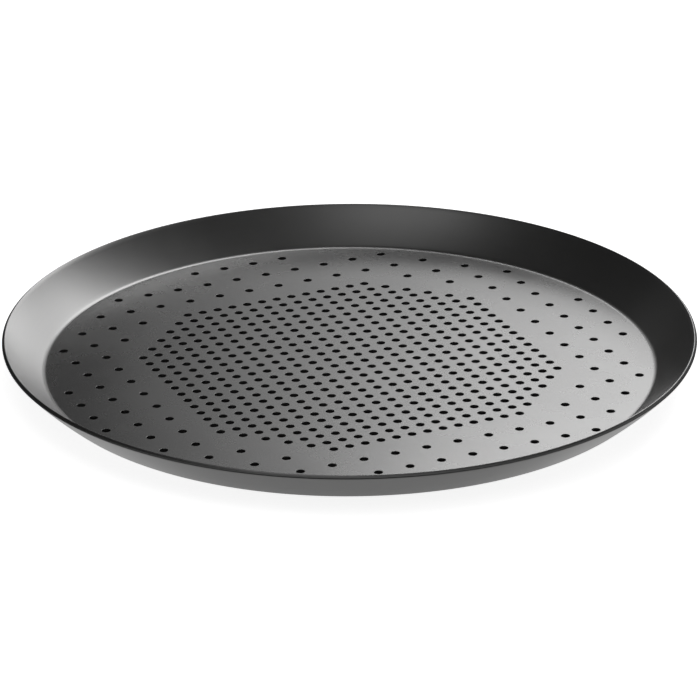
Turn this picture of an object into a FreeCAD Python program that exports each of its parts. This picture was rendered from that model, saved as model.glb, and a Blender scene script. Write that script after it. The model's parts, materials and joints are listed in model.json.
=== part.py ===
import FreeCAD, Part
import Sketcher
import math
import os

# Perforated pizza pan. One disc of aluminium sheet is spun over a former into a flat floor with a
# flared wall, trimmed at the rim, and punched with vent holes through the floor.
# The origin is the centre of the underside, +Z is up, lengths are millimetres and angles degrees.

sizes = {
    "rim_diameter": 265.5,         # outside of the rim, before its edges are eased
    "overall_height": 15.3,        # underside to the top of the rim, before its edges are eased
    "sheet_gauge": 1.6,            # thickness of the sheet
    "wall_angle": 43.5,            # slope of the wall above the floor
    "bend_radius": 3.2,            # inside of the bend between floor and wall
    "rim_round": 0.4,              # both edges of the trimmed rim
    "hole_diameter": 3.25,         # one punch makes every vent hole
    "hole_pitch": 6.35,            # square grid that every hole lies on
    "dense_half_width": 72.0,      # reach of the dense field along the grid
    "dense_corner_reach": 110.0,   # its reach across the corners, as the sum of both coordinates
    "sparse_start": 80.0,          # where the sparse ring begins along the grid
    "sparse_corner_start": 124.0,  # where it begins across the corners, as the same sum
    "bend_margin": 4.2,            # least distance of a hole's centre from the bend
}
sparse_step = 2                    # the sparse ring uses every second column and row of the grid
field_quarters = 4                 # the field repeats every quarter turn
largest_round = 0.45               # share of the sheet that one eased edge may take
same_place = 0.001                 # points closer than this are one point

doc = FreeCAD.newDocument("PizzaPan")
sheet = doc.addObject("Spreadsheet::Sheet", "Sizes")
for line, (alias, value) in enumerate(sizes.items(), start=1):
    sheet.set(f"A{line}", alias)
    sheet.set(f"B{line}", str(value))
    sheet.setAlias(f"B{line}", alias)
doc.recompute()

body = doc.addObject("PartDesign::Body", "PizzaPan")
body.Label = "pizza_pan"
body.Placement = FreeCAD.Placement()
upright = FreeCAD.Vector(0, 0, 1)

# Sketch references: the points of a piece of geometry, the horizontal axis and the sketch's origin
start, end, centre = 1, 2, 3
x_axis = -1
origin = (-1, 1)


def origin_feature(role):
    return next(feature for feature in body.Origin.OriginFeatures if feature.Role == role)


def new_sketch(name, plane):
    sketch = body.newObject("Sketcher::SketchObject", name)
    sketch.AttachmentSupport = [(origin_feature(plane), "")]
    sketch.MapMode = "FlatFace"
    return sketch


def bind(sketch, kind, references, value, expression):
    index = sketch.addConstraint(Sketcher.Constraint(kind, *references, value))
    sketch.setExpression(f"Constraints[{index}]", expression)


# Section of the sheet, from the axis out to the rim

gauge = sizes["sheet_gauge"]
bend = sizes["bend_radius"]
slope = math.radians(sizes["wall_angle"])
out_of_wall = FreeCAD.Vector(math.sin(slope), -math.cos(slope), 0)

rim_outer = FreeCAD.Vector(
    sizes["rim_diameter"] / 2,
    sizes["overall_height"] - gauge * math.cos(slope),
    0,
)
rim_inner = rim_outer - out_of_wall * gauge
corner_radius = rim_inner.x - (rim_inner.y - gauge) / math.tan(slope)
floor_radius = corner_radius - bend * math.tan(slope / 2)
bend_centre = FreeCAD.Vector(floor_radius, gauge + bend, 0)


def bend_arc(radius):
    straight_down = -math.pi / 2
    circle = Part.Circle(bend_centre, upright, radius)
    return Part.ArcOfCircle(circle, straight_down, straight_down + slope)


section = new_sketch("Section", "XZ_Plane")
underside, outer_bend, outer_wall, rim_face, inner_wall, inner_bend, floor, axis = section.addGeometry([
    Part.LineSegment(FreeCAD.Vector(0, 0, 0), FreeCAD.Vector(floor_radius, 0, 0)),
    bend_arc(bend + gauge),
    Part.LineSegment(bend_centre + out_of_wall * (bend + gauge), rim_outer),
    Part.LineSegment(rim_outer, rim_inner),
    Part.LineSegment(rim_inner, bend_centre + out_of_wall * bend),
    bend_arc(bend),
    Part.LineSegment(FreeCAD.Vector(floor_radius, gauge, 0), FreeCAD.Vector(0, gauge, 0)),
    Part.LineSegment(FreeCAD.Vector(0, gauge, 0), FreeCAD.Vector(0, 0, 0)),
])
section.addConstraint([
    Sketcher.Constraint("Coincident", underside, start, *origin),
    Sketcher.Constraint("Horizontal", underside),
    Sketcher.Constraint("Tangent", underside, end, outer_bend, start),
    Sketcher.Constraint("Tangent", outer_bend, end, outer_wall, start),
    Sketcher.Constraint("Coincident", outer_wall, end, rim_face, start),
    Sketcher.Constraint("Perpendicular", rim_face, inner_wall),
    Sketcher.Constraint("Coincident", rim_face, end, inner_wall, start),
    Sketcher.Constraint("Tangent", inner_wall, end, inner_bend, end),
    Sketcher.Constraint("Tangent", inner_bend, start, floor, start),
    Sketcher.Constraint("Coincident", inner_bend, centre, outer_bend, centre),
    Sketcher.Constraint("Horizontal", floor),
    Sketcher.Constraint("Coincident", floor, end, axis, start),
    Sketcher.Constraint("Vertical", axis),
    Sketcher.Constraint("Coincident", axis, end, underside, start),
])
bind(section, "DistanceY", (*origin, floor, end), gauge, "Sizes.sheet_gauge")
bind(section, "Radius", (inner_bend,), bend, "Sizes.bend_radius")
bind(section, "Angle", (x_axis, outer_wall), slope, "Sizes.wall_angle * 1 deg")
bind(section, "DistanceX", (*origin, rim_face, start), rim_outer.x, "Sizes.rim_diameter / 2")
bind(section, "DistanceY", (*origin, rim_face, end), rim_inner.y, "Sizes.overall_height")

spun = body.newObject("PartDesign::Revolution", "SpunSheet")
spun.Profile = section
spun.ReferenceAxis = (section, ["V_Axis"])
spun.Angle = 360
doc.recompute()

# Rim, trimmed square to the wall and eased on both edges


def circles_through(shape, point):
    for index, edge in enumerate(shape.Edges, start=1):
        if isinstance(edge.Curve, Part.Circle):
            away = math.hypot(edge.Curve.Radius - point.x, edge.Curve.Center.z - point.y)
            if away < same_place:
                yield f"Edge{index}"


rim_edges = [*circles_through(spun.Shape, rim_outer), *circles_through(spun.Shape, rim_inner)]
eased = body.newObject("PartDesign::Fillet", "EasedRim")
eased.Base = (spun, rim_edges)
eased.setExpression("Radius", f"min(Sizes.rim_round; {largest_round} * Sizes.sheet_gauge)")
doc.recompute()

# Vent holes: a dense field with cut corners, and a sparse ring round it that ends short of the bend

pitch = sizes["hole_pitch"]
hole_limit = floor_radius - sizes["bend_margin"]
grid_reach = int(hole_limit / pitch)


def in_dense_field(x, y):
    return max(x, y) <= sizes["dense_half_width"] and x + y <= sizes["dense_corner_reach"]


def in_sparse_ring(x, y):
    return max(x, y) >= sizes["sparse_start"] or x + y >= sizes["sparse_corner_start"]


def quarter_of_field():
    for column in range(1, grid_reach + 1):
        for row in range(grid_reach + 1):
            x, y = column * pitch, row * pitch
            on_sparse_grid = column % sparse_step == 1 and row % sparse_step == 1
            punched = in_dense_field(x, y) or (on_sparse_grid and in_sparse_ring(x, y))
            if punched and math.hypot(x, y) <= hole_limit:
                yield column, row


def hole_sketch(name, cells):
    sketch = new_sketch(name, "XY_Plane")
    punch_radius = sizes["hole_diameter"] / 2
    circles = sketch.addGeometry([
        Part.Circle(FreeCAD.Vector(column * pitch, row * pitch, 0), upright, punch_radius)
        for column, row in cells
    ])
    # The first hole of each column and row is measured from the centre, the others line up with it
    bind(sketch, "Diameter", (circles[0],), sizes["hole_diameter"], "Sizes.hole_diameter")
    alike = [Sketcher.Constraint("Equal", circles[0], circle) for circle in circles[1:]]
    for place, measured, aligned in ((0, "DistanceX", "Vertical"), (1, "DistanceY", "Horizontal")):
        leaders = {}
        for circle, cell in zip(circles, cells):
            number = cell[place]
            if number in leaders:
                alike.append(Sketcher.Constraint(aligned, leaders[number], centre, circle, centre))
            else:
                leaders[number] = circle
                reference = (*origin, circle, centre)
                bind(sketch, measured, reference, number * pitch, f"{number} * Sizes.hole_pitch")
    sketch.addConstraint(alike)
    return sketch


def punch_through(name, sketch):
    pocket = body.newObject("PartDesign::Pocket", name)
    pocket.Profile = sketch
    pocket.Type = "ThroughAll"
    pocket.Reversed = True         # up from the underside into the sheet
    return pocket


middle_cell = [(0, 0)]
quarter_cells = list(quarter_of_field())
punch_through("MiddlePunch", hole_sketch("MiddleHole", middle_cell))
quarter_punch = punch_through("QuarterPunch", hole_sketch("QuarterOfHoles", quarter_cells))

field = body.newObject("PartDesign::PolarPattern", "VentHoles")
field.Originals = [quarter_punch]
field.Axis = (origin_feature("Z_Axis"), [""])
field.Angle = 360
field.Occurrences = field_quarters
body.Tip = field
doc.recompute()

# Every feature has to be sound, and every hole cut, before the file is written

for item in doc.Objects:
    if "Invalid" in item.State or "Error" in item.State:
        raise RuntimeError(f"{item.Name} failed: {item.State}")
pan = body.Shape
if pan.isNull() or not pan.isValid() or len(pan.Solids) != 1:
    raise RuntimeError("the pan is not one sound solid")

hole_count = len(middle_cell) + field_quarters * len(quarter_cells)
punched_volume = hole_count * math.pi * (sizes["hole_diameter"] / 2) ** 2 * gauge
removed_volume = eased.Shape.Volume - pan.Volume
if not math.isclose(removed_volume, punched_volume, rel_tol=1e-6):
    raise RuntimeError(f"the holes remove {removed_volume:.1f} mm3, not {punched_volume:.1f} mm3")

os.makedirs("parts", exist_ok=True)
pan.exportStep(f"parts/{body.Label}.step")
print(f"{body.Label}: {hole_count} holes, floor radius {floor_radius:.2f} mm, volume {pan.Volume:.0f} mm3")
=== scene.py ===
import bmesh
import bpy
import json
import math
from mathutils import Matrix, Vector


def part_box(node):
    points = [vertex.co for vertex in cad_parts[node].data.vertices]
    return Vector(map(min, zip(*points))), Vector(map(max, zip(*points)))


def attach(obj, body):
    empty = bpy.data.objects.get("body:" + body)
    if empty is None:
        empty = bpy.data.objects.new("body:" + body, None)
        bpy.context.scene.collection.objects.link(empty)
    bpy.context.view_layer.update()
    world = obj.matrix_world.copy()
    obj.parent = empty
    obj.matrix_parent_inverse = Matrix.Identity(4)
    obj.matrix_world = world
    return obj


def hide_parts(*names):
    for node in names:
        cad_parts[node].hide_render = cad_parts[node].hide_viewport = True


# Perforated pizza pan: one hard-anodised aluminium sheet, spun, trimmed and punched.
# Metres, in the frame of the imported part: +Z up, origin at the centre of the underside.

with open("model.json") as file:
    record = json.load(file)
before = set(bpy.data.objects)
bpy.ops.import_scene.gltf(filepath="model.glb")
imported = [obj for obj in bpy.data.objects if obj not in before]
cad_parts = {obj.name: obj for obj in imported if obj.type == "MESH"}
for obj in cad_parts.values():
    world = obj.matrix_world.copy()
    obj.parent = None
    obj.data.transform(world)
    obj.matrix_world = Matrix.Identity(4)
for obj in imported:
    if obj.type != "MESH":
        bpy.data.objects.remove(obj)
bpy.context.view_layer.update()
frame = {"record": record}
scene = bpy.context.scene
scene.view_settings.view_transform = "Standard"

panLow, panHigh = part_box("pizza_pan")
mounts = {mount["name"]: Vector(mount["pos_m"]) for mount in frame["record"]["mounts"]}
gauge = mounts["floor"].z - mounts["underside"].z      # thickness of the sheet
white = (1, 1, 1, 1)
print(f"frame loaded, sheet {gauge * 1000:.2f} mm thick")


# Node helpers

def feed(tree, socket, value):
    if isinstance(value, bpy.types.NodeSocket):
        tree.links.new(value, socket)
    else:
        socket.default_value = value


def addNode(tree, kind, inputs=None, **options):
    node = tree.nodes.new(kind)
    for name, value in options.items():
        setattr(node, name, value)
    for key, value in (inputs or {}).items():
        feed(tree, node.inputs[key], value)
    return node


def result(tree, kind, inputs=None, key=0, **options):
    return addNode(tree, kind, inputs, **options).outputs[key]


def calc(tree, operation, *values, kind="ShaderNodeMath"):
    return result(tree, kind, dict(enumerate(values)), operation=operation)


def newTree(name, kind, inputs, outputs):
    tree = bpy.data.node_groups.new(name, kind)
    for label, socketType in inputs.items():
        tree.interface.new_socket(label, in_out="INPUT", socket_type=socketType)
    for label, socketType in outputs.items():
        tree.interface.new_socket(label, in_out="OUTPUT", socket_type=socketType)
    return tree, tree.nodes.new("NodeGroupInput").outputs, tree.nodes.new("NodeGroupOutput").inputs


# Camera, as in the photograph

cameraSettings = {
    "lens": 241.66,              # millimetres on a 36 mm sensor
    "distance": 1.81255,         # from the point on the pan's floor that it looks at
    "elevation": 23.3436,        # degrees above the table
    "turn": -24.3228,            # degrees from the hole grid to the picture's axes
    "roll": -0.2659,             # degrees
    "aimRight": 0.00018,         # from the pan's centre to that point
    "aimAway": 0.01246,
}

# Camera, table and lamps are set out with x to the right and y away from the camera, then turned
toStudio = Matrix.Rotation(math.radians(cameraSettings["turn"]), 4, "Z")


def makeCamera():
    s = cameraSettings
    elevation = math.radians(s["elevation"])
    back = Vector((0, -math.cos(elevation), math.sin(elevation)))
    place = Vector((s["aimRight"], s["aimAway"], gauge)) + back * s["distance"]
    tilt = Matrix.Rotation(math.pi / 2 - elevation, 4, "X")
    roll = Matrix.Rotation(math.radians(s["roll"]), 4, "Z")
    camera = bpy.data.cameras.new("photoCamera")
    camera.lens = s["lens"]
    obj = bpy.data.objects.new("photoCamera", camera)
    obj.matrix_world = toStudio @ Matrix.Translation(place) @ tilt @ roll
    scene.collection.objects.link(obj)
    scene.camera = obj


makeCamera()
print("camera set")


# Half section of the sheet, from the floor's edge up the inside, over the rim and down the outside

sheetSettings = {
    "wallSlope": 43.5,           # degrees above the floor, at the middle of the wall
    "wallBow": 8.0,              # degrees that the slope gains from the bend to the rim
    "bendRadius": 0.0032,        # inside
    "innerRound": 0.0003,        # inner edge of the trimmed rim
    "outerRound": 0.0006,        # outer edge
    "bendSteps": 8,
    "wallSteps": 12,
    "rimSteps": 4,
    "rimSegments": 240,
    "samePlace": 0.00003,        # points closer than this are one point
}


def arcPoints(centre, radius, fromAngle, toAngle, steps):
    for step in range(steps + 1):
        angle = fromAngle + (toAngle - fromAngle) * step / steps
        yield centre + Vector((math.cos(angle), 0, math.sin(angle))) * radius


def panSection():
    s = sheetSettings
    bend, inner, outer = s["bendRadius"], s["innerRound"], s["outerRound"]
    bow = math.radians(s["wallBow"])
    bendSlope = math.radians(s["wallSlope"]) - bow / 2
    rimSlope = bendSlope + bow
    alongWall = Vector((math.cos(rimSlope), 0, math.sin(rimSlope)))
    outOfWall = Vector((math.sin(rimSlope), 0, -math.cos(rimSlope)))

    easedOff = alongWall.x + alongWall.z - 1       # share of its radius that an eased corner loses
    rimOuter = Vector(((panHigh.x - panLow.x) / 2 + outer * easedOff, 0,
                       panHigh.z + inner * easedOff - gauge * alongWall.x))
    rimInner = rimOuter - outOfWall * gauge
    wallRise = rimInner.z - gauge - bend * (1 - math.cos(bendSlope))
    wallRadius = wallRise / (math.cos(bendSlope) - math.cos(rimSlope))
    wallCentre = rimInner - outOfWall * wallRadius
    bendCentre = Vector((wallCentre.x + (wallRadius - bend) * math.sin(bendSlope), 0, gauge + bend))

    down = -math.pi / 2
    innerEnd = down + rimSlope - inner / wallRadius            # where the eased edges begin
    outerEnd = down + rimSlope - outer / (wallRadius + gauge)
    innerEase = rimInner + (outOfWall - alongWall) * inner
    outerEase = rimOuter - (outOfWall + alongWall) * outer
    stretches = [
        arcPoints(bendCentre, bend, down, down + bendSlope, s["bendSteps"]),
        arcPoints(wallCentre, wallRadius, down + bendSlope, innerEnd, s["wallSteps"]),
        arcPoints(innerEase, inner, rimSlope - down, rimSlope, s["rimSteps"]),
        arcPoints(outerEase, outer, rimSlope, rimSlope + down, s["rimSteps"]),
        arcPoints(wallCentre, wallRadius + gauge, outerEnd, down + bendSlope, s["wallSteps"]),
        arcPoints(bendCentre, bend + gauge, down + bendSlope, down, s["bendSteps"]),
    ]
    points = []
    for stretch in stretches:
        for point in stretch:
            if not points or (point - points[-1]).length > s["samePlace"]:
                points.append(point)
    return points, bendCentre.x, rimSlope, rimInner.dot(alongWall)


sectionPoints, floorRadius, rimSlope, rimReach = panSection()
print(f"section drawn, {len(sectionPoints)} points, floor radius {floorRadius * 1000:.2f} mm")


# Finishes: hard-anodised faces, and the cut edges of the rim and the holes

noiseMiddle = 0.5                # what a noise gives on average


def sheetPlace(tree, vector):
    axes = addNode(tree, "ShaderNodeSeparateXYZ", {"Vector": vector}).outputs
    flat = result(tree, "ShaderNodeCombineXYZ", {"X": axes["X"], "Y": axes["Y"]})
    radius = result(tree, "ShaderNodeVectorMath", {0: flat}, "Value", operation="LENGTH")
    return radius, axes["Z"]


def noiseAt(tree, vector, scale, detail, roughness=0.5):
    inputs = {"Vector": vector, "Scale": scale, "Detail": detail, "Roughness": roughness}
    return result(tree, "ShaderNodeTexNoise", inputs)


def ramp(tree, value, start, end):
    inputs = {"Value": value, "From Min": start, "From Max": end}
    return result(tree, "ShaderNodeMapRange", inputs, interpolation_type="SMOOTHSTEP")


def blendTones(tree, factor, lowTone, highTone):
    node = addNode(tree, "ShaderNodeMix", {0: factor}, data_type="RGBA")
    for index, tone in ((6, lowTone), (7, highTone)):          # the colour sockets of a Mix node
        feed(tree, node.inputs[index], tone)
    return node.outputs[2]


spunSettings = {
    "lineDetail": 4.0,           # lines left by the spinning tool
    "lineRoughness": 0.65,
    "patchScale": 11.0,          # patches where they fade
    "patchDetail": 2.0,
    "patchStart": 0.35,
    "patchEnd": 0.7,
    "onFloor": 0.1,              # share of their strength that the floor keeps
}


def spunRingsGroup():
    s = spunSettings
    tree, given, made = newTree("spunRings", "ShaderNodeTree",
                                {"Vector": "NodeSocketVector", "Spacing": "NodeSocketFloat",
                                 "Bend Start": "NodeSocketFloat", "Bend End": "NodeSocketFloat"},
                                {"Rings": "NodeSocketFloat", "Wall": "NodeSocketFloat"})
    radius, height = sheetPlace(tree, given["Vector"])
    wall = ramp(tree, radius, given["Bend Start"], given["Bend End"])
    feed(tree, made["Wall"], wall)
    turns = calc(tree, "DIVIDE", calc(tree, "ADD", radius, height), given["Spacing"])
    lineInputs = {"W": turns, "Scale": 1.0, "Detail": s["lineDetail"], "Roughness": s["lineRoughness"]}
    lines = result(tree, "ShaderNodeTexNoise", lineInputs, noise_dimensions="1D")
    patches = noiseAt(tree, given["Vector"], s["patchScale"], s["patchDetail"])
    faded = ramp(tree, patches, s["patchStart"], s["patchEnd"])
    onSheet = calc(tree, "MULTIPLY_ADD", wall, 1 - s["onFloor"], s["onFloor"])
    strength = calc(tree, "MULTIPLY", faded, onSheet)
    feed(tree, made["Rings"], calc(tree, "MULTIPLY", calc(tree, "SUBTRACT", lines, noiseMiddle), strength))
    return tree


anodicSettings = {"grainDetail": 2.0, "cloudDetail": 5.0, "roughness": 0.6}


def anodicGrainGroup():
    s = anodicSettings
    tree, given, made = newTree("anodicGrain", "ShaderNodeTree",
                                {"Vector": "NodeSocketVector", "Grain Size": "NodeSocketFloat",
                                 "Cloud Size": "NodeSocketFloat"},
                                {"Grain": "NodeSocketFloat", "Clouds": "NodeSocketFloat"})
    noises = {"Grain": ("Grain Size", "grainDetail"), "Clouds": ("Cloud Size", "cloudDetail")}
    for label, (size, detail) in noises.items():
        scale = calc(tree, "DIVIDE", 1.0, given[size])
        noise = noiseAt(tree, given["Vector"], scale, s[detail], s["roughness"])
        feed(tree, made[label], calc(tree, "SUBTRACT", noise, noiseMiddle))
    return tree


wornSettings = {
    "rimFade": 3.0,              # where the rim's wear ends, in widths of the worn edge
    "lipFull": 0.3,              # where a hole's wear is full, in the same widths below the floor
    "lipFade": 0.5,              # where it begins to fade
    "patchScale": 70.0,
    "patchDetail": 5.0,
    "patchRoughness": 0.6,
    "patchStart": 0.1,
    "patchEnd": 0.8,
}


def wornEdgeGroup():
    s = wornSettings
    tree, given, made = newTree("wornEdge", "ShaderNodeTree",
                                {"Vector": "NodeSocketVector", "Rim Slope": "NodeSocketFloat",
                                 "Rim Reach": "NodeSocketFloat", "Floor Top": "NodeSocketFloat",
                                 "Floor Radius": "NodeSocketFloat", "Width": "NodeSocketFloat"},
                                {"Wear": "NodeSocketFloat"})
    radius, height = sheetPlace(tree, given["Vector"])
    width = given["Width"]
    rimFade, lipFull, lipFade = (calc(tree, "MULTIPLY", width, s[key])
                                 for key in ("rimFade", "lipFull", "lipFade"))
    outward = calc(tree, "MULTIPLY", radius, calc(tree, "COSINE", given["Rim Slope"]))
    upward = calc(tree, "MULTIPLY", height, calc(tree, "SINE", given["Rim Slope"]))
    toRim = calc(tree, "SUBTRACT", given["Rim Reach"], calc(tree, "ADD", outward, upward))
    rim = ramp(tree, toRim, rimFade, width)
    depth = calc(tree, "SUBTRACT", given["Floor Top"], height)
    lip = calc(tree, "MULTIPLY", ramp(tree, depth, 0.0, lipFull), ramp(tree, depth, width, lipFade))
    hole = calc(tree, "MULTIPLY", lip, calc(tree, "LESS_THAN", radius, given["Floor Radius"]))
    patches = noiseAt(tree, given["Vector"], s["patchScale"], s["patchDetail"], s["patchRoughness"])
    patchy = ramp(tree, patches, s["patchStart"], s["patchEnd"])
    feed(tree, made["Wear"], calc(tree, "MULTIPLY", calc(tree, "MAXIMUM", rim, hole), patchy))
    return tree


finishGroups = {"rings": spunRingsGroup(), "grain": anodicGrainGroup(), "wear": wornEdgeGroup()}

faceFinish = {
    "deepTone": (0.251, 0.250, 0.249, 1),
    "paleTone": (0.291, 0.290, 0.289, 1),
    "wornTone": (0.29, 0.29, 0.29, 1),
    "roughness": 0.27,           # of the rolled floor
    "wallRoughness": 0.08,       # what spinning adds to it on the wall
    "cloudRoughness": 0.10,      # how much it changes with the clouds
    "ringRoughness": 0.12,       # how much it changes with the spun lines
    "wornRoughness": -0.06,      # how much wear adds to it
    "grainSize": 0.00045,
    "cloudSize": 0.035,
    "ringSpacing": 0.0009,
    "ringHeight": 0.8,           # times the grain's
    "wearWidth": 0.0002,
    "bumpDepth": 0.0000025,
}
cutFinish = {
    **faceFinish,
    "deepTone": (0.206, 0.205, 0.204, 1),
    "paleTone": (0.246, 0.245, 0.244, 1),
    "roughness": 0.40,
    "wallRoughness": 0.0,
    "grainSize": 0.0002,
    "ringHeight": 0.0,
}


def anodisedMaterial(name, s):
    material = bpy.data.materials.new(name)
    material.use_nodes = True
    tree = material.node_tree
    shader = tree.nodes["Principled BSDF"]
    where = result(tree, "ShaderNodeTexCoord", key="Object")

    def place(key, values):
        node = addNode(tree, "ShaderNodeGroup", node_tree=finishGroups[key])
        for label, value in {"Vector": where, **values}.items():
            feed(tree, node.inputs[label], value)
        return node.outputs

    grain = place("grain", {"Grain Size": s["grainSize"], "Cloud Size": s["cloudSize"]})
    spun = place("rings", {"Spacing": s["ringSpacing"], "Bend Start": floorRadius,
                           "Bend End": floorRadius + sheetSettings["bendRadius"]})
    wear = place("wear", {"Rim Slope": rimSlope, "Rim Reach": rimReach, "Floor Top": gauge,
                          "Floor Radius": floorRadius, "Width": s["wearWidth"]})["Wear"]

    cloudy = calc(tree, "ADD", grain["Clouds"], noiseMiddle)
    clouded = blendTones(tree, cloudy, s["deepTone"], s["paleTone"])
    feed(tree, shader.inputs["Base Color"], blendTones(tree, wear, clouded, s["wornTone"]))
    roughness = calc(tree, "MULTIPLY_ADD", grain["Clouds"], s["cloudRoughness"], s["roughness"])
    changes = {"wallRoughness": spun["Wall"], "ringRoughness": spun["Rings"], "wornRoughness": wear}
    for key, mask in changes.items():
        roughness = calc(tree, "MULTIPLY_ADD", mask, s[key], roughness)
    feed(tree, shader.inputs["Roughness"], roughness)
    relief = calc(tree, "MULTIPLY_ADD", spun["Rings"], s["ringHeight"], grain["Grain"])
    bump = result(tree, "ShaderNodeBump", {"Height": relief, "Distance": s["bumpDepth"]})
    feed(tree, shader.inputs["Normal"], bump)
    shader.inputs["Metallic"].default_value = 1
    return material


anodisedFace = anodisedMaterial("anodisedFace", faceFinish)
anodisedCut = anodisedMaterial("anodisedCut", cutFinish)
print("finishes mixed")


# The pan: the section spun round, and the floor's two faces filled between the bend and the holes

def spinSectionTree():
    tree, given, made = newTree("spinSection", "GeometryNodeTree",
                                {"Section": "NodeSocketGeometry", "Segments": "NodeSocketInt"},
                                {"Spun": "NodeSocketGeometry"})
    whole = "FunctionNodeIntegerMath"
    sectionSize = addNode(tree, "GeometryNodeAttributeDomainSize", {"Geometry": given["Section"]})
    count = sectionSize.outputs["Point Count"]
    columns = calc(tree, "ADD", given["Segments"], 1, kind=whole)
    grid = result(tree, "GeometryNodeMeshGrid", {"Vertices X": columns, "Vertices Y": count}, "Mesh")
    index = result(tree, "GeometryNodeInputIndex")
    column = calc(tree, "DIVIDE_FLOOR", index, count, kind=whole)
    row = calc(tree, "MODULO", index, count, kind=whole)
    angle = calc(tree, "MULTIPLY", calc(tree, "DIVIDE", column, given["Segments"]), 2 * math.pi)
    place = result(tree, "GeometryNodeInputPosition")
    sample = {"Geometry": given["Section"], "Value": place, "Index": row}
    onSection = result(tree, "GeometryNodeSampleIndex", sample, data_type="FLOAT_VECTOR")
    turned = result(tree, "ShaderNodeVectorRotate", {"Vector": onSection, "Angle": angle},
                    rotation_type="Z_AXIS")
    spun = result(tree, "GeometryNodeSetPosition", {"Geometry": grid, "Position": turned})
    feed(tree, made["Spun"], spun)
    return tree


spinSection = spinSectionTree()

holeSettings = {
    "Hole Pitch": 0.00635,            # square grid that every hole lies on
    "Hole Radius": 0.001625,
    "Edge Round": 0.00012,            # both edges of a hole
    "Dense Half Width": 0.072,        # reach of the dense field along the grid
    "Dense Corner Reach": 0.110,      # its reach across the corners, as the sum of both coordinates
    "Sparse Start": 0.080,            # where the sparse ring begins along the grid
    "Sparse Corner Start": 0.124,     # where it begins across the corners, as the same sum
    "Bend Margin": 0.0042,            # least distance of a hole's centre from the bend
    "Grid Reach": 20,                 # columns and rows each side of the middle, past the last hole
    "Hole Sides": 20,
}
weldDistance = 0.000002


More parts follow.
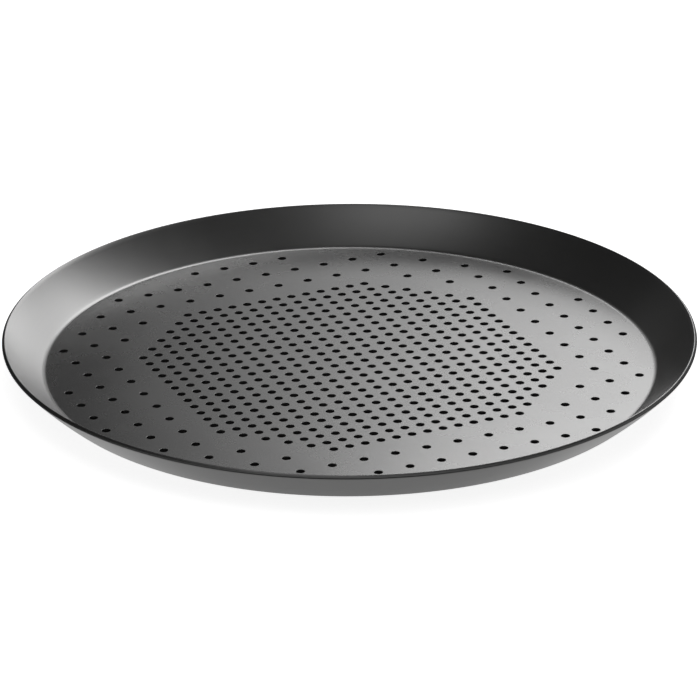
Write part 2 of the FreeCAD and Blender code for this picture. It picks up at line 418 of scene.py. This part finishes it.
def panTree():
    sizes = {label: "NodeSocketInt" if isinstance(value, int) else "NodeSocketFloat"
             for label, value in holeSettings.items()}
    inputs = {
        "Section": "NodeSocketGeometry",
        "Floor Radius": "NodeSocketFloat",
        "Gauge": "NodeSocketFloat",
        "Rim Slope": "NodeSocketFloat",
        "Cut Reach": "NodeSocketFloat",
        "Rim Segments": "NodeSocketInt",
        **sizes,
        "Face Finish": "NodeSocketMaterial",
        "Cut Finish": "NodeSocketMaterial",
    }
    tree, given, made = newTree("spunPan", "GeometryNodeTree", inputs, {"Pan": "NodeSocketGeometry"})
    place = result(tree, "GeometryNodeInputPosition")

    def test(operation, a, b):
        return result(tree, "FunctionNodeCompare", {0: a, 1: b}, operation=operation)

    def logic(operation, a, b):
        return calc(tree, operation, a, b, kind="FunctionNodeBooleanMath")

    def spin(section, segments):
        node = addNode(tree, "GeometryNodeGroup", node_tree=spinSection)
        feed(tree, node.inputs["Section"], section)
        feed(tree, node.inputs["Segments"], segments)
        return node.outputs["Spun"]

    def join(*pieces):
        node = addNode(tree, "GeometryNodeJoinGeometry")
        for piece in pieces:
            feed(tree, node.inputs[0], piece)
        return node.outputs[0]

    def circle(radius, sides):
        return result(tree, "GeometryNodeCurvePrimitiveCircle", {"Radius": radius, "Resolution": sides})

    def atEach(points, piece):
        return result(tree, "GeometryNodeInstanceOnPoints", {"Points": points, "Instance": piece})

    def realize(piece):
        return result(tree, "GeometryNodeRealizeInstances", {0: piece})

    # Every crossing of the grid, and the rule that says which are punched
    perSide = calc(tree, "MULTIPLY_ADD", given["Grid Reach"], 2.0, 1.0)
    width = calc(tree, "MULTIPLY", calc(tree, "SUBTRACT", perSide, 1.0), given["Hole Pitch"])
    gridSizes = {"Size X": width, "Size Y": width, "Vertices X": perSide, "Vertices Y": perSide}
    grid = result(tree, "GeometryNodeMeshGrid", gridSizes, "Mesh")
    axes = addNode(tree, "ShaderNodeSeparateXYZ", {"Vector": place}).outputs
    x, y = (calc(tree, "ABSOLUTE", axes[name]) for name in "XY")
    far = calc(tree, "MAXIMUM", x, y)
    both = calc(tree, "ADD", x, y)
    dense = logic("AND", test("LESS_EQUAL", far, given["Dense Half Width"]),
                  test("LESS_EQUAL", both, given["Dense Corner Reach"]))
    crossings = [calc(tree, "ROUND", calc(tree, "DIVIDE", side, given["Hole Pitch"])) for side in (x, y)]
    odd = [calc(tree, "MODULO", crossing, 2.0) for crossing in crossings]
    everySecond = test("GREATER_THAN", calc(tree, "MULTIPLY", *odd), 0.5)
    outside = logic("OR", test("GREATER_EQUAL", far, given["Sparse Start"]),
                    test("GREATER_EQUAL", both, given["Sparse Corner Start"]))
    radius, height = sheetPlace(tree, place)
    holeLimit = calc(tree, "SUBTRACT", given["Floor Radius"], given["Bend Margin"])
    clear = test("LESS_EQUAL", radius, holeLimit)
    punched = logic("AND", logic("OR", dense, logic("AND", everySecond, outside)), clear)
    holes = result(tree, "GeometryNodeMeshToPoints", {"Mesh": grid, "Selection": punched}, "Points")

    # One hole's eased edges and bore, spun from four points
    openRadius = calc(tree, "ADD", given["Hole Radius"], given["Edge Round"])
    boreTop = calc(tree, "SUBTRACT", given["Gauge"], given["Edge Round"])
    corners = [(openRadius, given["Gauge"]), (given["Hole Radius"], boreTop),
               (given["Hole Radius"], given["Edge Round"]), (openRadius, 0.0)]
    pick = addNode(tree, "GeometryNodeIndexSwitch", data_type="VECTOR")
    while len(pick.index_switch_items) < len(corners):
        pick.index_switch_items.new()
    feed(tree, pick.inputs["Index"], result(tree, "GeometryNodeInputIndex"))
    for number, (across, up) in enumerate(corners):
        corner = result(tree, "ShaderNodeCombineXYZ", {"X": across, "Z": up})
        feed(tree, pick.inputs[str(number)], corner)
    line = result(tree, "GeometryNodeMeshLine", {"Count": len(corners)})
    edge = result(tree, "GeometryNodeSetPosition", {"Geometry": line, "Position": pick.outputs[0]})
    bores = atEach(holes, spin(edge, given["Hole Sides"]))

    # The floor's two faces, filled between the bend and the outlines of the holes
    outlines = join(realize(atEach(holes, circle(openRadius, given["Hole Sides"]))),
                    circle(given["Floor Radius"], given["Rim Segments"]))
    underside = result(tree, "GeometryNodeFillCurve", {"Curve": outlines})
    lift = result(tree, "ShaderNodeCombineXYZ", {"Z": given["Gauge"]})
    floor = result(tree, "GeometryNodeTransform", {"Geometry": underside, "Translation": lift})

    wall = spin(given["Section"], given["Rim Segments"])
    real = realize(join(wall, floor, underside, bores))
    closed = result(tree, "GeometryNodeMergeByDistance", {"Geometry": real, "Distance": weldDistance})
    smooth = result(tree, "GeometryNodeSetShadeSmooth", {"Geometry": closed})

    # The bores and the rim have the finish of a cut edge
    belowFloor = test("LESS_THAN", height, calc(tree, "SUBTRACT", given["Gauge"], weldDistance))
    insideBend = test("LESS_THAN", radius, given["Floor Radius"])
    inBore = logic("AND", test("GREATER_THAN", height, weldDistance), logic("AND", belowFloor, insideBend))
    outward = calc(tree, "MULTIPLY", radius, calc(tree, "COSINE", given["Rim Slope"]))
    upward = calc(tree, "MULTIPLY", height, calc(tree, "SINE", given["Rim Slope"]))
    atRim = test("GREATER_THAN", calc(tree, "ADD", outward, upward), given["Cut Reach"])
    faced = result(tree, "GeometryNodeSetMaterial", {"Geometry": smooth, "Material": given["Face Finish"]})
    cutPlaces = logic("OR", inBore, atRim)
    cutInputs = {"Geometry": faced, "Selection": cutPlaces, "Material": given["Cut Finish"]}
    feed(tree, made["Pan"], result(tree, "GeometryNodeSetMaterial", cutInputs))
    return tree


def settleNormals(mesh):
    pitch = holeSettings["Hole Pitch"]
    normals = []
    for vertex in mesh.vertices:
        x, y, z = vertex.co
        if math.hypot(x, y) > floorRadius + weldDistance:
            normals.append(vertex.normal.copy())
        elif z > gauge - weldDistance:
            normals.append(Vector((0, 0, 1)))
        elif z < weldDistance:
            normals.append(Vector((0, 0, -1)))
        else:
            toHoleAxis = Vector((round(x / pitch) * pitch - x, round(y / pitch) * pitch - y, 0))
            normals.append(toHoleAxis.normalized())
    mesh.normals_split_custom_set_from_vertices(normals)


def makePan():
    drawing = bpy.data.meshes.new("panSection")
    lines = [(number, number + 1) for number in range(len(sectionPoints) - 1)]
    drawing.from_pydata(sectionPoints, lines, [])
    section = bpy.data.objects.new("panSection", drawing)
    scene.collection.objects.link(section)
    tree = panTree()
    modifier = section.modifiers.new("spunPan", "NODES")
    modifier.node_group = tree
    values = {
        "Floor Radius": floorRadius,
        "Gauge": gauge,
        "Rim Slope": rimSlope,
        "Cut Reach": rimReach - sheetSettings["outerRound"],
        "Rim Segments": sheetSettings["rimSegments"],
        **holeSettings,
        "Face Finish": anodisedFace,
        "Cut Finish": anodisedCut,
    }
    for item in tree.interface.items_tree:
        if item.name in values:
            modifier[item.identifier] = values[item.name]
    mesh = bpy.data.meshes.new_from_object(section.evaluated_get(bpy.context.evaluated_depsgraph_get()))
    mesh.name = "pizzaPan"
    bpy.data.objects.remove(section)

    work = bmesh.new()
    work.from_mesh(mesh)
    bmesh.ops.recalc_face_normals(work, faces=work.faces)
    triangles = sum(len(face.verts) - 2 for face in work.faces)
    openEdges = sum(not edge.is_manifold for edge in work.edges)
    volume = work.calc_volume(signed=True) * 1e9           # cubic millimetres
    work.to_mesh(mesh)
    work.free()
    settleNormals(mesh)
    pan = bpy.data.objects.new("pizzaPan", mesh)
    scene.collection.objects.link(pan)
    print(f"pan spun and punched, {triangles} triangles, {openEdges} open edges, {volume:.0f} mm3")
    return pan


pan = makePan()
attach(pan, "root")
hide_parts("pizza_pan")


# Pale table, a black booth that only the metal shows, and soft lamps

tableSettings = {
    "radius": 6.0,
    "sides": 96,
    "drop": 0.0003,              # below the pan's underside
    "paint": (0.8, 0.8, 0.8, 1),
    # painted shade: near-black paint on the table under the pan
    "paintedShadeUnderPan": (0.02, 0.02, 0.02, 1),
    "shadeStart": 0.1138,        # painted shade: the paint and its glow go nearly black inside this ring, which the pan covers
    "shadeEnd": 0.1165,
    "seenGlow": 0.80,            # what the camera sees over the light that falls on the table
    "metalGlow": 0.55,           # what the metal shows over it
    "paintedFrontShadeStart": 0.080,          # how far in front of the pan's centre the glow that the metal shows begins to fade, a painted shadow of the pan
    "paintedFrontShadeEnd": 0.124,
    "paintedFrontShadeGlow": 0.30,
}


def stageCard(name, points, faces, material):
    mesh = bpy.data.meshes.new(name)
    mesh.from_pydata([toStudio @ Vector(point) for point in points], [], faces)
    mesh.materials.append(material)
    card = bpy.data.objects.new(name, mesh)
    scene.collection.objects.link(card)
    return card


def raysSeen(tree):
    rays = addNode(tree, "ShaderNodeLightPath").outputs
    byMetal = calc(tree, "MAXIMUM", rays["Is Glossy Ray"], rays["Is Transmission Ray"])
    return rays["Is Camera Ray"], byMetal


def tableMaterial():
    s = tableSettings
    material = bpy.data.materials.new("paleTable")
    material.use_nodes = True
    material.cycles.emission_sampling = "NONE"
    tree = material.node_tree
    shader = tree.nodes["Principled BSDF"]
    where = result(tree, "ShaderNodeTexCoord", key="Object")
    radius = sheetPlace(tree, where)[0]
    # painted shade: the table's paint and glow go nearly black under the pan
    outsidePaintedShade = ramp(tree, radius, s["shadeStart"], s["shadeEnd"])
    feed(tree, shader.inputs["Base Color"], blendTones(tree, outsidePaintedShade, s["paintedShadeUnderPan"], s["paint"]))
    # painted shadow of the pan: the glow that the metal shows is darker in front of the pan
    forward = toStudio @ Vector((0, -1, 0))                # towards the camera
    inFront = result(tree, "ShaderNodeVectorMath", {0: where, 1: forward}, "Value", operation="DOT_PRODUCT")
    faded = ramp(tree, inFront, s["paintedFrontShadeStart"], s["paintedFrontShadeEnd"])
    metalGlow = calc(tree, "MULTIPLY_ADD", faded, s["paintedFrontShadeGlow"] - s["metalGlow"], s["metalGlow"])
    byCamera, byMetal = raysSeen(tree)
    cameraGlow = calc(tree, "MULTIPLY", byCamera, s["seenGlow"])
    glow = calc(tree, "MULTIPLY_ADD", byMetal, metalGlow, cameraGlow)
    feed(tree, shader.inputs["Emission Strength"], calc(tree, "MULTIPLY", glow, outsidePaintedShade))
    shader.inputs["Emission Color"].default_value = white
    shader.inputs["Specular IOR Level"].default_value = 0
    return material


tableTurns = [2 * math.pi * step / tableSettings["sides"] for step in range(tableSettings["sides"])]


def aroundPan(radius, turn, height):
    return radius * math.cos(turn), radius * math.sin(turn), height


def makeTable():
    s = tableSettings
    edge = [aroundPan(s["radius"], turn, -s["drop"]) for turn in tableTurns]
    stageCard("paleTable", edge, [range(len(edge))], tableMaterial())


makeTable()

boothSettings = {
    "halfWidth": 0.9,
    "back": 0.57,
    "front": -0.9,
    "height": 1.12,
    "clothTone": (0.01, 0.01, 0.01, 1),
    "blackGlow": 0.025,          # what the metal shows of the black cloth
    "greyGlow": 0.28,            # what it shows of the grey cloth in front and low on the sides
    "greyFoot": 0.20,            # where the grey begins in front
    "greyTop": 0.50,             # where it ends on the sides
    "greyLeft": -0.20,           # how far back it reaches on the left side and on the right
    "greyRight": 0.52,
    "greyInset": 0.01,           # in front of the black cloth
    "matInner": 0.138,           # ring of black cloth laid on the table round the pan
    "matOuter": 0.600,
    "matLift": 0.0001,
}


def studioCloth(name, glow):
    material = bpy.data.materials.new(name)
    material.use_nodes = True
    material.cycles.emission_sampling = "NONE"
    shader = material.node_tree.nodes["Principled BSDF"]
    shader.inputs["Base Color"].default_value = boothSettings["clothTone"]
    shader.inputs["Specular IOR Level"].default_value = 0
    shader.inputs["Emission Color"].default_value = white
    shader.inputs["Emission Strength"].default_value = glow
    return material


def makeBooth():
    s = boothSettings
    black = studioCloth("blackCloth", s["blackGlow"])
    grey = studioCloth("greyCloth", s["greyGlow"])
    across = (-s["halfWidth"], s["halfWidth"])
    corners = [(x, y, z) for x in across for y in (s["front"], s["back"]) for z in (0, s["height"])]
    corners += [(x, s["front"], s["greyFoot"]) for x in across]
    walls = [
        (0, 1, 3, 2),            # left
        (4, 6, 7, 5),            # right
        (2, 3, 7, 6),            # back
        (1, 5, 7, 3),            # roof
        (0, 4, 9, 8),            # foot of the front
    ]
    greyCorners = [corners[number] for number in (8, 9, 5, 1)]
    inset = s["halfWidth"] - s["greyInset"]
    for x, end in ((-inset, s["greyLeft"]), (inset, s["greyRight"])):
        greyCorners += [(x, s["front"], 0), (x, s["front"], s["greyTop"])]
        greyCorners += [(x, end, s["greyTop"]), (x, end, 0)]
    greyPanels = [range(0, 4), range(4, 8), range(8, 12)]

    level = s["matLift"] - tableSettings["drop"]
    mat = [aroundPan(radius, turn, level)
           for turn in tableTurns for radius in (s["matInner"], s["matOuter"])]
    matPieces = [[(2 * step + corner) % len(mat) for corner in (0, 1, 3, 2)]
                 for step in range(len(tableTurns))]
    cards = [
        stageCard("blackBooth", corners, walls, black),
        stageCard("blackMat", mat, matPieces, black),
        stageCard("greyFront", greyCorners, greyPanels, grey),
    ]
    for card in cards:
        card.visible_camera = False
        card.visible_diffuse = False
        card.visible_shadow = False


makeBooth()

softboxSettings = {
    "away": 0.55,                # lamps in the back wall, behind the pan's centre
    "above": 0.62,               # overhead lamps, above the table
    "wall": {
        "low": {"left": 0.062, "right": 0.326, "bottom": 0.028, "top": 0.140, "level": 2.75},
        "high": {"left": 0.020, "right": 0.618, "bottom": 0.350, "top": 0.950, "level": 3.25},
        "dim": {"left": -0.420, "right": -0.167, "bottom": 0.140, "top": 0.350, "level": 0.06},
    },
    "bank": {"left": -0.167, "right": 0.367, "bottom": 0.140, "top": 0.350},
    "bankCount": 10,             # lamps side by side in the bank
    "bankDimmest": 0.06,         # level of its left lamp
    "bankBrightest": 2.35,       # level of its right lamp
    "overhead": {
        "back": {"left": -0.303, "right": 0.027, "front": -0.299, "back": -0.045, "level": 0.70},
        "front": {"left": -0.120, "right": 0.650, "front": -0.520, "back": -0.310, "level": 0.20},
    },
}


def addSoftbox(name, centre, tilt, width, height, level):
    lamp = bpy.data.lights.new(name, "AREA")
    lamp.shape = "RECTANGLE"
    lamp.size = width
    lamp.size_y = height
    lamp.energy = level * math.pi * width * height         # level 1 is white in a mirror
    obj = bpy.data.objects.new(name, lamp)
    obj.matrix_world = toStudio @ Matrix.Translation(centre) @ Matrix.Rotation(tilt, 4, "X")
    obj.visible_camera = False
    scene.collection.objects.link(obj)


def makeSoftboxes():
    s = softboxSettings
    bank = s["bank"]
    bankWidth = (bank["right"] - bank["left"]) / s["bankCount"]
    levelStep = (s["bankBrightest"] - s["bankDimmest"]) / (s["bankCount"] - 1)
    wallLamps = dict(s["wall"])
    for number in range(s["bankCount"]):
        left = bank["left"] + number * bankWidth
        level = s["bankDimmest"] + number * levelStep
        wallLamps[f"bank{number}"] = {**bank, "left": left, "right": left + bankWidth, "level": level}
    for name, lamp in wallLamps.items():
        width = lamp["right"] - lamp["left"]
        height = lamp["top"] - lamp["bottom"]
        centre = ((lamp["left"] + lamp["right"]) / 2, s["away"], (lamp["bottom"] + lamp["top"]) / 2)
        addSoftbox(name + "Softbox", centre, -math.pi / 2, width, height, lamp["level"])
    for name, lamp in s["overhead"].items():
        width = lamp["right"] - lamp["left"]
        depth = lamp["back"] - lamp["front"]
        centre = ((lamp["left"] + lamp["right"]) / 2, (lamp["front"] + lamp["back"]) / 2, s["above"])
        addSoftbox(name + "Overhead", centre, 0, width, depth, lamp["level"])


makeSoftboxes()

roomSettings = {
    "fill": 0.35,                # light from all round
    "seen": 1.0,                 # what the camera and the metal see of the room
}


def makeRoom():
    s = roomSettings
    world = bpy.data.worlds.new("room")
    world.use_nodes = True
    world.cycles.sampling_method = "NONE"
    tree = world.node_tree
    background = tree.nodes["Background"]
    background.inputs["Color"].default_value = white
    seen = calc(tree, "MAXIMUM", *raysSeen(tree))
    strength = calc(tree, "MULTIPLY_ADD", seen, s["seen"] - s["fill"], s["fill"])
    feed(tree, background.inputs["Strength"], strength)
    scene.world = world


makeRoom()
print("studio lit")
